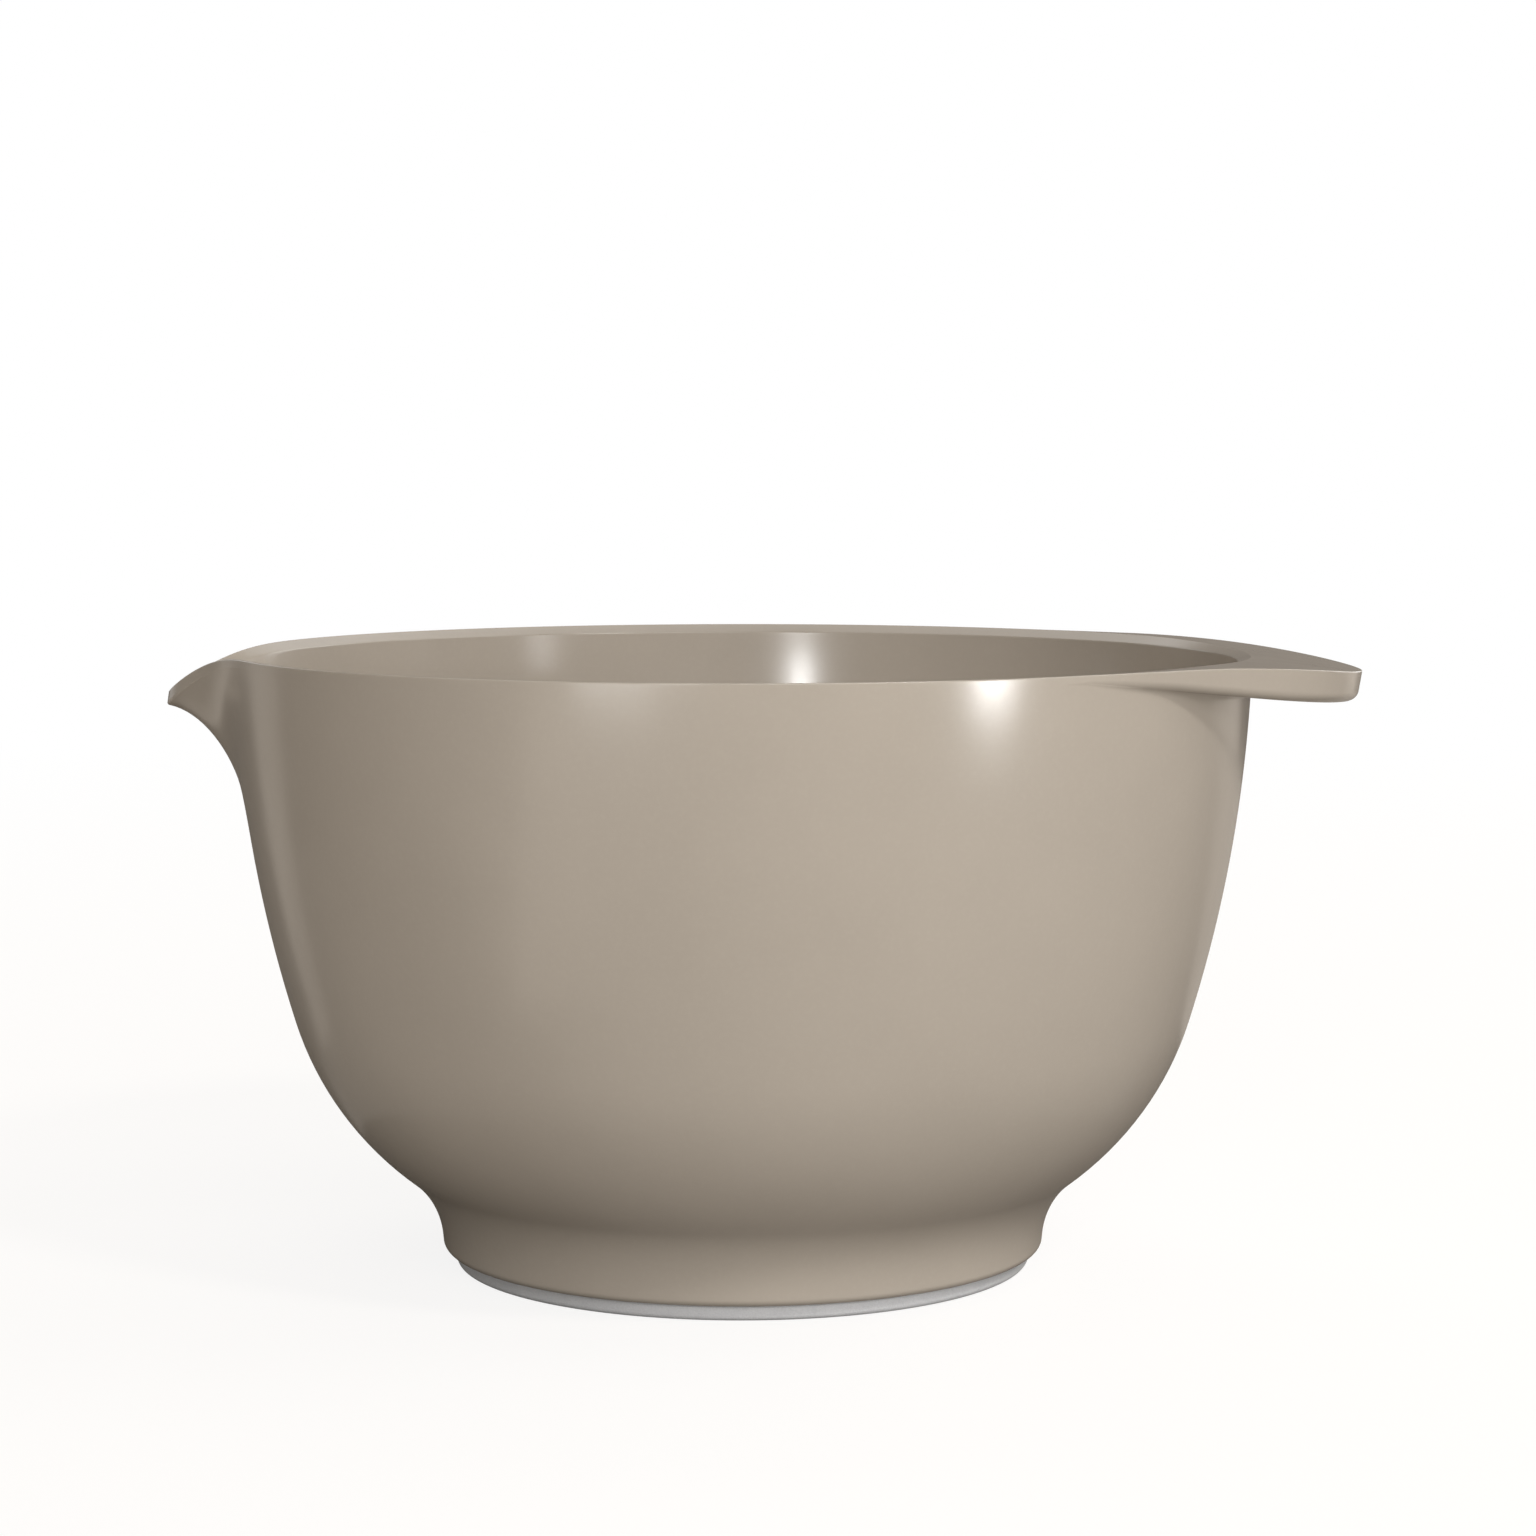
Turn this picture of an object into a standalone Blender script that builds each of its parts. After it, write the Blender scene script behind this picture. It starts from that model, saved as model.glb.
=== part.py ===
"""A mixing bowl of moulded melamine with a pouring spout, a flat grip and a foot, on a non-slip ring.

Metres, +Z up. The spout points to -X and the grip to +X, and the XZ plane is the plane of symmetry.
The origin is on the table, under the middle of the bowl's whole length, so the bowl's own axis stands
a little to the spout's side of it.
"""

import math

import bmesh
import bpy

# The turned body. A lean is the angle between the outer wall and the vertical.
RIM_RADIUS = 0.110
RIM_HEIGHT = 0.1337
WALL = 0.003
BEVEL_DROP = 0.0018
RIM_LEAN = math.radians(1.1)
WALL_ARC = 0.2906
BELLY_LEAN = math.radians(17.0)
BELLY_ARC = 0.0675
NECK_LEAN = math.radians(52.7)
NECK_ARC = 0.0202
FLOOR_LEAN = math.radians(45.0)
FLOOR_ARC = 0.055

# The foot, with a groove for the ring and a recess inside it.
FOOT_DRAFT = math.radians(5.3)
FOOT_CORNER = 0.0018
FOOT_BOTTOM = 0.0034
GROOVE_OUTER = 0.0619
GROOVE_INNER = 0.0576
GROOVE_TOP = 0.0066
RECESS_RADIUS = 0.0552
RECESS_TOP = 0.0089
RECESS_CORNER = 0.0008

# The spout is the rim pulled outward and down into a beak, which dies out round the rim.
SPOUT_REACH = 0.1249
SPOUT_DROP = 0.0090
SPOUT_ANGLE = math.radians(8.55)
SPOUT_FADE = 1.6
DROP_ANGLE = math.radians(6.7)
DROP_FADE = 1.53
FLARE_DEPTH = 0.0405
FLARE_TURN = math.radians(82.5)
LIP_EDGE = 0.0029
LIP_EDGE_ANGLE = math.radians(9.0)
LIP_LEAN_OUT = 0.0004
LIP_BEVEL_LEFT = 0.2

# The grip is a tongue whose outline is a wide end arc and two long side arcs that leave the rim
# at a tangent. Its top curves down from GRIP_TOP_START outward, and its underside is a sloping plane.
GRIP_REACH = 0.1340
GRIP_END_ARC = 0.0724
GRIP_SIDE_ARC = 0.690
GRIP_TOP_START = 0.0905
GRIP_TOP_ARC = 0.2476
GRIP_UNDER_START = 0.0559
GRIP_UNDER_SLOPE = 0.131
GRIP_LEAST_EDGE = 0.0017
GRIP_EDGE_ROUND = 0.0023
GRIP_DRAFT = math.radians(9.3)
GRIP_FILLET = 0.0017
FILLET_MOST_SHARE = 0.45

# The non-slip ring: a sole under the foot and a tongue in its groove.
GAP = 0.0003
SOLE_OUTER = 0.0628
SOLE_INNER = 0.0548
SOLE_ROUND = 0.0011
SOLE_CHAMFER = 0.0004
RING_STEPS = 72

# How finely the bowl is faceted, round its axis and then down its section.
END_STEPS = 6
SIDE_STEPS = 9
BACK_STEPS = 14
SPOUT_STEPS = 12
SPOUT_SPREAD = math.radians(30)
SPOUT_EASE = 1.5
FLARE_STEPS = 6
FLOOR_STEPS = 5
WALL_STEPS = 3
INSIDE_BELLY_STEPS = 3
BELLY_STEPS = 5
NECK_STEPS = 5
CORNER_STEPS = 2
EDGE_STEPS = 3
SHARP_ANGLE = math.radians(30)
WELD = 1e-5

AXIS_X = (SPOUT_REACH + LIP_LEAN_OUT - GRIP_REACH) / 2


def along(centre, radius, lean):
    """The point (radius, height) where the surface round this centre has this lean."""
    return centre[0] + radius * math.cos(lean), centre[1] - radius * math.sin(lean)


def arc(centre, radius, first, last, steps):
    """Points along an arc from one lean to another, both included. A negative radius is hollow."""
    leans = [first + (last - first) * i / steps for i in range(steps + 1)]
    return [along(centre, radius, lean) for lean in leans]


WALL_CENTRE = along((RIM_RADIUS, RIM_HEIGHT), -WALL_ARC, RIM_LEAN)
BELLY_CENTRE = along(WALL_CENTRE, WALL_ARC - BELLY_ARC, BELLY_LEAN)
NECK_CENTRE = along(BELLY_CENTRE, BELLY_ARC + NECK_ARC, NECK_LEAN)
FLOOR_CENTRE = along(BELLY_CENTRE, BELLY_ARC - WALL - FLOOR_ARC, FLOOR_LEAN)
FLOOR_HEIGHT = FLOOR_CENTRE[1] - FLOOR_ARC


def wall_radius(depth, inset=0.0):
    """Radius of the turned wall at a depth below the rim, on its outer face or inset from it."""
    radius = WALL_ARC - inset
    lean = math.asin((WALL_ARC * math.sin(RIM_LEAN) + depth) / radius)
    return WALL_CENTRE[0] + radius * math.cos(lean)


def from_spout(angle):
    return math.pi - angle


def spout_pull(angle):
    """1 at the middle of the spout, falling to nothing round the rim."""
    return math.exp(-((from_spout(angle) / SPOUT_ANGLE) ** SPOUT_FADE))


def lip_radius(angle):
    return RIM_RADIUS + (SPOUT_REACH - RIM_RADIUS) * spout_pull(angle)


def lip_drop(angle):
    return SPOUT_DROP * math.exp(-((from_spout(angle) / DROP_ANGLE) ** DROP_FADE))


def flared(corner_radius, corner_depth, inset, steps):
    """(radius, depth) points down the wall from a corner at the lip to where the spout's flare ends."""
    pull = corner_radius - wall_radius(corner_depth, inset)
    points = []
    for i in range(steps + 1):
        turn = FLARE_TURN * (1 - i / steps)
        rise = math.sin(turn) / math.sin(FLARE_TURN)
        share = (1 - math.cos(turn)) / (1 - math.cos(FLARE_TURN))
        depth = FLARE_DEPTH - (FLARE_DEPTH - corner_depth) * rise
        points.append((wall_radius(depth, inset) + pull * share, depth))
    return points


def circle_reach(centre, radius, angle):
    """Distance from the bowl's axis, in this direction, to a circle in plan that goes round the axis."""
    ahead = centre[0] * math.cos(angle) + centre[1] * math.sin(angle)
    return ahead + math.sqrt(radius**2 - centre[0] ** 2 - centre[1] ** 2 + ahead**2)


GRIP_END_CENTRE = (GRIP_REACH - GRIP_END_ARC, 0.0)
SIDE_X = (
    GRIP_END_CENTRE[0] ** 2
    - (GRIP_SIDE_ARC - GRIP_END_ARC) ** 2
    + (GRIP_SIDE_ARC - RIM_RADIUS) ** 2
) / (2 * GRIP_END_CENTRE[0])
GRIP_SIDE_CENTRE = (SIDE_X, -math.sqrt((GRIP_SIDE_ARC - RIM_RADIUS) ** 2 - SIDE_X**2))


def tangent_angle():
    """Direction in which the grip's side arc leaves the rim."""
    return math.atan2(-GRIP_SIDE_CENTRE[1], -GRIP_SIDE_CENTRE[0])


def end_angle():
    """Direction in which the grip's side arc meets its end arc."""
    across = -GRIP_SIDE_CENTRE[1]
    along_x = GRIP_END_CENTRE[0] - GRIP_SIDE_CENTRE[0]
    turn = math.atan2(across, along_x)
    return math.atan2(
        GRIP_END_ARC * math.sin(turn),
        GRIP_END_CENTRE[0] + GRIP_END_ARC * math.cos(turn),
    )


def grip_reach(angle):
    if angle >= tangent_angle():
        return RIM_RADIUS
    if angle >= end_angle():
        return circle_reach(GRIP_SIDE_CENTRE, GRIP_SIDE_ARC, angle)
    return circle_reach(GRIP_END_CENTRE, GRIP_END_ARC, angle)


def grip_top(x):
    """Depth of the grip's top below the rim."""
    past = max(0.0, x - GRIP_TOP_START)
    return GRIP_TOP_ARC - math.sqrt(GRIP_TOP_ARC**2 - past**2)


def grip_under(x):
    """Depth of the grip's underside below the rim."""
    return max(GRIP_LEAST_EDGE, GRIP_UNDER_SLOPE * (x - GRIP_UNDER_START))


def grip_points(angle):
    """(radius, depth) points over the grip: along its top, round its edge and back to the wall."""
    reach = grip_reach(angle)
    width = reach - RIM_RADIUS
    middle = RIM_RADIUS + width / 2
    top = [(r, grip_top(r * math.cos(angle))) for r in (middle, reach)]
    under = grip_under(reach * math.cos(angle))
    edge_round = min(GRIP_EDGE_ROUND, width / 2)
    side = reach - (under - edge_round - top[-1][1]) * math.tan(GRIP_DRAFT) * min(1, width / GRIP_FILLET)
    centre = (side - edge_round, under - edge_round)
    turns = [math.pi / 2 * i / EDGE_STEPS for i in range(EDGE_STEPS + 1)]
    edge = [(centre[0] + edge_round * math.cos(t), centre[1] + edge_round * math.sin(t)) for t in turns]
    fillet = min(GRIP_FILLET, FILLET_MOST_SHARE * width)
    inner_under = grip_under((RIM_RADIUS + fillet) * math.cos(angle))
    wall = wall_radius(inner_under + fillet)
    root = [
        (wall + fillet * (1 - math.sin(t)), inner_under + fillet * (1 - math.cos(t)))
        for t in (0, math.pi / 4)
    ]
    return top + edge + root, inner_under + fillet


def rim_points(angle):
    """(radius, depth) points from the rim's edge down to where the outer wall starts, then that point.

    Both halves of the rim give ten points, so that all the sections join face by face. Where there
    is no grip, the lip and the corner under it are repeated, and the weld makes each one point.
    """
    if angle < math.pi / 2:
        points, wall_depth = grip_points(angle)
        return [(RIM_RADIUS, 0.0)] + points, wall_radius(wall_depth), wall_depth
    pull = spout_pull(angle)
    edge_share = math.exp(-((from_spout(angle) / LIP_EDGE_ANGLE) ** 2))
    edge = GRIP_LEAST_EDGE + (LIP_EDGE - GRIP_LEAST_EDGE) * edge_share
    depth = lip_drop(angle) + edge
    lip = (lip_radius(angle), lip_drop(angle))
    out = lip[0] - RIM_RADIUS + LIP_LEAN_OUT * pull
    corner = (wall_radius(depth) + out + (RIM_RADIUS - wall_radius(depth)) * pull, depth)
    return [lip] * 3 + [corner] * 6, corner[0], depth


def inside_points(angle):
    """(radius, height) points of the inside, from the middle of the floor up to the rim's bevel."""
    bevel_width = RIM_RADIUS - wall_radius(BEVEL_DROP, WALL)
    shrink = 1 - (1 - LIP_BEVEL_LEFT) * spout_pull(angle)
    corner_radius = lip_radius(angle) - bevel_width * shrink
    corner_depth = lip_drop(angle) + BEVEL_DROP * shrink
    upper = flared(corner_radius, corner_depth, WALL, FLARE_STEPS)
    join_height = RIM_HEIGHT - FLARE_DEPTH
    join_lean = math.asin((WALL_CENTRE[1] - join_height) / (WALL_ARC - WALL))
    middle = [(0.0, FLOOR_HEIGHT), (FLOOR_CENTRE[0] / 2, FLOOR_HEIGHT)]
    floor = arc(FLOOR_CENTRE, FLOOR_ARC, math.pi / 2, FLOOR_LEAN, FLOOR_STEPS)
    belly = arc(BELLY_CENTRE, BELLY_ARC - WALL, FLOOR_LEAN, BELLY_LEAN, INSIDE_BELLY_STEPS)[1:]
    wall = arc(WALL_CENTRE, WALL_ARC - WALL, BELLY_LEAN, join_lean, WALL_STEPS)[1:-1]
    return middle + floor + belly + wall + [(r, RIM_HEIGHT - depth) for r, depth in reversed(upper)]


def outside_points(start_radius, start_depth):
    """(radius, height) points of the outside, from under the rim down to the foot's bottom corner."""
    upper = flared(start_radius, start_depth, 0.0, FLARE_STEPS)
    join_lean = math.asin((WALL_CENTRE[1] - RIM_HEIGHT + FLARE_DEPTH) / WALL_ARC)
    wall = arc(WALL_CENTRE, WALL_ARC, join_lean, BELLY_LEAN, WALL_STEPS)[1:]
    belly = arc(BELLY_CENTRE, BELLY_ARC, BELLY_LEAN, NECK_LEAN, BELLY_STEPS)[1:]
    neck = arc(NECK_CENTRE, -NECK_ARC, NECK_LEAN, FOOT_DRAFT, NECK_STEPS)[1:]
    corner_height = FOOT_BOTTOM + FOOT_CORNER
    drop = neck[-1][1] - (corner_height - FOOT_CORNER * math.sin(FOOT_DRAFT))
    foot_radius = neck[-1][0] - drop * math.tan(FOOT_DRAFT)
    corner_centre = (foot_radius - FOOT_CORNER * math.cos(FOOT_DRAFT), corner_height)
    corner = arc(corner_centre, FOOT_CORNER, FOOT_DRAFT, math.pi / 2, CORNER_STEPS)
    return [(r, RIM_HEIGHT - depth) for r, depth in upper] + wall + belly + neck + corner


def underneath_points():
    """(radius, height) points under the foot: the ring's groove, the recess and its middle."""
    return [
        (GROOVE_OUTER, FOOT_BOTTOM),
        (GROOVE_OUTER, GROOVE_TOP),
        (GROOVE_INNER, GROOVE_TOP),
        (GROOVE_INNER, FOOT_BOTTOM),
        (RECESS_RADIUS, FOOT_BOTTOM),
        (RECESS_RADIUS, RECESS_TOP - RECESS_CORNER),
        (RECESS_RADIUS - RECESS_CORNER, RECESS_TOP),
        (RECESS_RADIUS / 2, RECESS_TOP),
        (0.0, RECESS_TOP),
    ]


def section(angle):
    """The whole cross-section of the bowl in one direction from its axis, as (radius, height)."""
    rim, start_radius, start_depth = rim_points(angle)
    rim_heights = [(r, RIM_HEIGHT - depth) for r, depth in rim]
    return (
        inside_points(angle)
        + rim_heights
        + outside_points(start_radius, start_depth)
        + underneath_points()
    )


def spaced(first, last, steps, ease=1.0):
    """Angles from first to last, the last one left out, closer together near last where ease > 1."""
    return [last + (first - last) * (1 - i / steps) ** ease for i in range(steps)]


def station_angles():
    """Directions of the sections over half the bowl, from the middle of the grip to the spout."""
    back = math.pi - SPOUT_SPREAD
    return (
        spaced(0.0, end_angle(), END_STEPS)
        + spaced(end_angle(), tangent_angle(), SIDE_STEPS)
        + spaced(tangent_angle(), back, BACK_STEPS)
        + spaced(back, math.pi, SPOUT_STEPS, SPOUT_EASE)
        + [math.pi]
    )


def plastic(name, colour, roughness):
    material = bpy.data.materials.new(name)
    material.use_nodes = True
    shader = material.node_tree.nodes["Principled BSDF"]
    shader.inputs["Base Color"].default_value = (*colour, 1.0)
    shader.inputs["Roughness"].default_value = roughness
    shader.inputs["Metallic"].default_value = 0.0
    return material


def add_object(name, mesh, material, collection, parent):
    mesh.materials.append(material)
    obj = bpy.data.objects.new(name, mesh)
    obj.parent = parent
    collection.objects.link(obj)
    return obj


def make_bowl(collection, parent):
    """Half the shell lofted through its sections and mirrored over the plane of symmetry."""
    shell = bmesh.new()
    rows = []
    for angle in station_angles():
        across = 0.0 if angle in (0.0, math.pi) else math.sin(angle)
        rows.append([shell.verts.new((r * math.cos(angle), r * across, z)) for r, z in section(angle)])
    for row, following in zip(rows, rows[1:]):
        for i in range(len(row) - 1):
            shell.faces.new((row[i], row[i + 1], following[i + 1], following[i]))
    bmesh.ops.remove_doubles(shell, verts=shell.verts, dist=WELD)
    mesh = bpy.data.meshes.new("bowl")
    shell.to_mesh(mesh)
    shell.free()
    melamine = plastic("melamine", (0.37, 0.33, 0.28), 0.2)
    bowl = add_object("bowl", mesh, melamine, collection, parent)
    mirror = bowl.modifiers.new("other half", "MIRROR")
    mirror.use_axis = (False, True, False)
    mirror.merge_threshold = WELD
    mesh.shade_smooth()
    mesh.set_sharp_from_angle(angle=SHARP_ANGLE)
    return bowl


def ring_profile():
    """(radius, height) points round the ring's section, down its outer side first."""
    sole_top = FOOT_BOTTOM - GAP
    tongue_outer = GROOVE_OUTER - GAP
    tongue_inner = GROOVE_INNER + GAP
    tongue_top = GROOVE_TOP - GAP
    outer_round = arc((SOLE_OUTER - SOLE_ROUND, SOLE_ROUND), SOLE_ROUND, 0, math.pi / 2, EDGE_STEPS)
    inner_round = arc((SOLE_INNER + SOLE_ROUND, SOLE_ROUND), SOLE_ROUND, math.pi / 2, math.pi, EDGE_STEPS)
    return [
        (tongue_inner, tongue_top),
        (tongue_outer, tongue_top),
        (tongue_outer, sole_top),
        (SOLE_OUTER - SOLE_CHAMFER, sole_top),
        (SOLE_OUTER, sole_top - SOLE_CHAMFER),
        *outer_round,
        *inner_round,
        (SOLE_INNER, sole_top - SOLE_CHAMFER),
        (SOLE_INNER + SOLE_CHAMFER, sole_top),
        (tongue_inner, sole_top),
    ]


def make_ring(collection, parent):
    points = [(r, 0.0, z) for r, z in ring_profile()]
    edges = [(i, (i + 1) % len(points)) for i in range(len(points))]
    mesh = bpy.data.meshes.new("non_slip_ring")
    mesh.from_pydata(points, edges, [])
    rubber = plastic("rubber", (0.30, 0.30, 0.31), 0.6)
    ring = add_object("non_slip_ring", mesh, rubber, collection, parent)
    screw = ring.modifiers.new("turn", "SCREW")
    screw.axis = "Z"
    screw.angle = 2 * math.pi
    screw.steps = RING_STEPS
    screw.render_steps = RING_STEPS
    screw.use_merge_vertices = True
    screw.merge_threshold = WELD
    screw.use_smooth_shade = True
    return ring


def main():
    for obj in list(bpy.data.objects):
        bpy.data.objects.remove(obj)
    collection = bpy.data.collections.new("mixing_bowl")
    bpy.context.scene.collection.children.link(collection)
    axis = bpy.data.objects.new("bowl_axis", None)
    axis.location = (AXIS_X, 0, 0)
    collection.objects.link(axis)
    make_bowl(collection, axis)
    make_ring(collection, axis)


main()
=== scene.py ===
"""The mixing bowl's looks: a smooth melamine shell and a rubber ring, in a plain studio.

Each piece replaces its CAD node and has the same shape, more finely faceted. Metres, +Z up, in the
frame's own coordinates. The spout points to -X and the grip to +X.
"""

import math

import bmesh
import bpy
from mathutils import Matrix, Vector


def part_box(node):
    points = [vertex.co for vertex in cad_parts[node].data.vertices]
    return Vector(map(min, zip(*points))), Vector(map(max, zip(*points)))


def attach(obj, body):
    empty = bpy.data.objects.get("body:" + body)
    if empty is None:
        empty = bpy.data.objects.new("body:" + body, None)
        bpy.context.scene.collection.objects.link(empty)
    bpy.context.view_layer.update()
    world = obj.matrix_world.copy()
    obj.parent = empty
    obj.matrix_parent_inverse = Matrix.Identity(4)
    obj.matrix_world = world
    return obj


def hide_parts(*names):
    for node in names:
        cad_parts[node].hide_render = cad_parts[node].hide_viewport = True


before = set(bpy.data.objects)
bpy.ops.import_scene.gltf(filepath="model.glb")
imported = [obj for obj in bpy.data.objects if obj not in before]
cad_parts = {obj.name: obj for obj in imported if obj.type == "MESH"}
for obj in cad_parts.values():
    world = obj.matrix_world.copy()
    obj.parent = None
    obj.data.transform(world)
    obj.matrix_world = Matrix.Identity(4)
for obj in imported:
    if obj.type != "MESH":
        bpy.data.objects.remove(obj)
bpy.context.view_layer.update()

# The frame's own sizes.
BOWL_LOW, BOWL_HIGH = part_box("bowl")
RING_LOW, RING_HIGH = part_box("non_slip_ring")
AXIS_X = (RING_LOW.x + RING_HIGH.x) / 2
RIM_HEIGHT = BOWL_HIGH.z
FOOT_BOTTOM = BOWL_LOW.z
GRIP_REACH = BOWL_HIGH.x - AXIS_X
SPOUT_END = AXIS_X - BOWL_LOW.x
SOLE_OUTER = (RING_HIGH.x - RING_LOW.x) / 2
RING_TOP = RING_HIGH.z

# The turned body. A lean is the angle between the outer wall and the vertical.
RIM_RADIUS = 0.110
WALL = 0.003
BEVEL_DROP = 0.0018
RIM_LEAN = math.radians(1.1)
WALL_ARC = 0.2906
BELLY_LEAN = math.radians(17.0)
BELLY_ARC = 0.0675
NECK_LEAN = math.radians(52.7)
NECK_ARC = 0.0202
FLOOR_LEAN = math.radians(45.0)
FLOOR_ARC = 0.055

# The foot, its groove and the recess under it.
FOOT_DRAFT = math.radians(5.3)
FOOT_CORNER = 0.0018
GROOVE_OUTER = 0.0619
GROOVE_INNER = 0.0576
GROOVE_TOP = 0.0066
RECESS_RADIUS = 0.0552
RECESS_TOP = 0.0089
RECESS_ROUND = 0.0012

# The spout.
LIP_LEAN_OUT = 0.0004
SPOUT_REACH = SPOUT_END - LIP_LEAN_OUT
SPOUT_DROP = 0.0090
SPOUT_ANGLE = math.radians(8.55)
SPOUT_FADE = 1.6
DROP_ANGLE = math.radians(6.7)
DROP_FADE = 1.53
FLARE_DEPTH = 0.0405
FLARE_TURN = math.radians(82.5)
LIP_EDGE = 0.0029
LIP_EDGE_ANGLE = math.radians(9.0)
LIP_BEVEL_LEFT = 0.5

# The grip.
GRIP_END_ARC = 0.0724
GRIP_SIDE_ARC = 0.690
GRIP_TOP_START = 0.0905
GRIP_TOP_ARC = 0.2476
GRIP_UNDER_START = 0.0559
GRIP_UNDER_SLOPE = 0.131
GRIP_LEAST_EDGE = 0.0017
GRIP_EDGE_ROUND = 0.0023
GRIP_DRAFT = math.radians(9.3)
GRIP_FILLET = 0.0017

# Small rounds on the edges.
CREST_ROUND = 0.00025
MOUTH_ROUND = 0.0006
SPOUT_MOUTH_ROUND = 0.0018
MOUTH_SPREAD = math.radians(24)
LIP_CORNER_ROUND = 0.0005

# The non-slip ring.
GAP = 0.0003
SOLE_INNER = 0.0548
SOLE_ROUND = 0.0011
SOLE_TOP_ROUND = 0.0005

# How finely the bowl is faceted round its axis. An ease above 1 closes the sections up at one end.
END_STEPS = 20
SIDE_STEPS = 48
SIDE_EASE = 1.2
BACK_STEPS = 60
SPOUT_STEPS = 56
SPOUT_EASE = 1.4
SPOUT_SPREAD = math.radians(36)

# How finely its section is faceted.
FLAT_STEPS = 6
FLOOR_STEPS = 14
INNER_BELLY_STEPS = 12
WALL_STEPS = 10
FLARE_STEPS = 20
ROUND_STEPS = 6
TOP_STEPS = 6
BELLY_STEPS = 16
NECK_STEPS = 14
FOOT_CORNER_STEPS = 8
RECESS_STEPS = 6

# How finely the ring is faceted, round its axis and on its sole's rounds.
RING_STEPS = 240
SOLE_STEPS = 8
SOLE_TOP_STEPS = 4

# A round takes at most CORNER_SHARE of the shorter side beside it, and a corner that turns by less
# than STRAIGHT radians has none. Points closer than WELD metres become one.
CORNER_SHARE = 0.48
STRAIGHT = 1e-4
WELD = 2e-6
SHARP_ANGLE = math.radians(40)

# Colours, as linear values. A share is how much of the last colour is mixed in at most.
MELAMINE_DEEP = (0.431, 0.379, 0.318)
MELAMINE_PALE = (0.447, 0.393, 0.330)
MELAMINE_FLECK = (0.52, 0.46, 0.39)
MELAMINE_WORN = (0.54, 0.48, 0.41)
FLECK_SHARE = 0.10
WORN_SHARE = 0.16
RUBBER_DEEP = (0.50, 0.50, 0.505)
RUBBER_PALE = (0.58, 0.58, 0.585)
RUBBER_DUST = (0.66, 0.66, 0.65)
DUST_SHARE = 0.35

# Finishes: roughness, and the depth of the bumps in metres.
GLOSS_ROUGHNESS = 0.2
GLOSS_SPREAD = 0.02
WORN_DULLING = 0.05
MELAMINE_IOR = 1.5
MELAMINE_RELIEF = 0.00006
SKIN_SHARE = 0.02
RUBBER_ROUGHNESS = (0.5, 0.68)
RUBBER_RELIEF = 0.00012
RUBBER_BUMP = 0.6

# Noise patterns: their scale, about one over the size of a grain, their detail and their roughness.
CLOUDS = (26, 4, 0.55)
FLECKS = (900, 2, 0.6)
RUBBING = (90, 4, 0.55)
SMEARS = (45, 6, 0.6)
WAVES = (60, 2, 0.4)
SKIN = (1400, 3, 0.55)
RUBBER_GRAIN = (2600, 3, 0.7)
DUST = (170, 6, 0.7)
DULL_PATCHES = (300, 4, 0.6)

# The part of a noise's range that is stretched to the whole: softly, more strongly, or its peaks.
SOFT = (0.3, 0.7)
STRONG = (0.35, 0.65)
PEAKS = (0.45, 0.75)

# Where the melamine is worn, each from none to full: depth below the rim's top, distance outside
# the rim, which keeps the grip clear, and height over the foot's bottom. Even full wear is patchy,
# down to LEAST_RUBBED.
RIM_WEAR = (0.0009, 0.0001)
GRIP_CLEAR = (0.0008, 0.0001)
FOOT_WEAR = (0.0030, 0.0004)
LEAST_RUBBED = 0.3

# The camera stands in front of the bowl, a little above the rim and looking slightly down.
CAMERA_LENS = 88.98
CAMERA_SENSOR = 36
CAMERA_RIGHT = 0.00554
CAMERA_BACK = 0.8249
CAMERA_HEIGHT = 0.1814
CAMERA_DIP = math.radians(5.093)

# The studio.
FLOOR_RADIUS = 12.0
FLOOR_EDGES = 96
FLOOR_COLOUR = (0.186, 0.168, 0.148)
FLOOR_CLEARANCE = 0.0001
FLOOR_LIFT = 0.86
FLOOR_FADE_START = 0.3
FLOOR_FADE_END = 1.4
WORLD_FILL = (0.175, 0.158, 0.140)
REFLECTOR_COLOUR = (1.0, 0.90, 0.79)
REFLECTOR_HEIGHT = 0.0006
REFLECTOR_STEPS = 48
LIGHT_TARGET_HEIGHT = 0.07

# Soft boxes: name, azimuth and elevation in degrees, distance, width and height in metres, watts
# and shape. Azimuth 0 is the camera's side and 90 is the right.
SOFT_BOXES = (
    ("key_right", 40, 42, 2.5, 0.38, 0.38, 16, "ELLIPSE"),
    ("front_wide", 15, 22, 2.5, 1.50, 0.80, 17.7, "ELLIPSE"),
    ("low_left", -14.3, 7, 2.5, 0.12, 0.24, 12, "ELLIPSE"),
    ("low_right", 53.4, -1, 1.2, 0.15, 0.10, 2.9, "RECTANGLE"),
    ("low_right_upper", 53.4, 4, 1.2, 0.15, 0.10, 0.9, "RECTANGLE"),
    ("wide_left", -26, 0, 1.2, 0.34, 0.13, 1, "RECTANGLE"),
    ("edge_left", -136, 4, 2.5, 0.80, 0.45, 0.7, "RECTANGLE"),
    ("edge_right", 147, 4, 2.5, 1.20, 0.45, 3.2, "RECTANGLE"),
    ("side_right", 92, 42, 2.5, 1.30, 1.30, 10, "ELLIPSE"),
    ("rear_right", 135, 23, 2.5, 1.30, 1.30, 10, "ELLIPSE"),
    ("rear_left", -140, 20, 2.5, 1.30, 1.30, 4.5, "ELLIPSE"),
    ("rear_fill", 180, 48, 2.5, 2.00, 2.00, 10, "ELLIPSE"),
)

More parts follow.
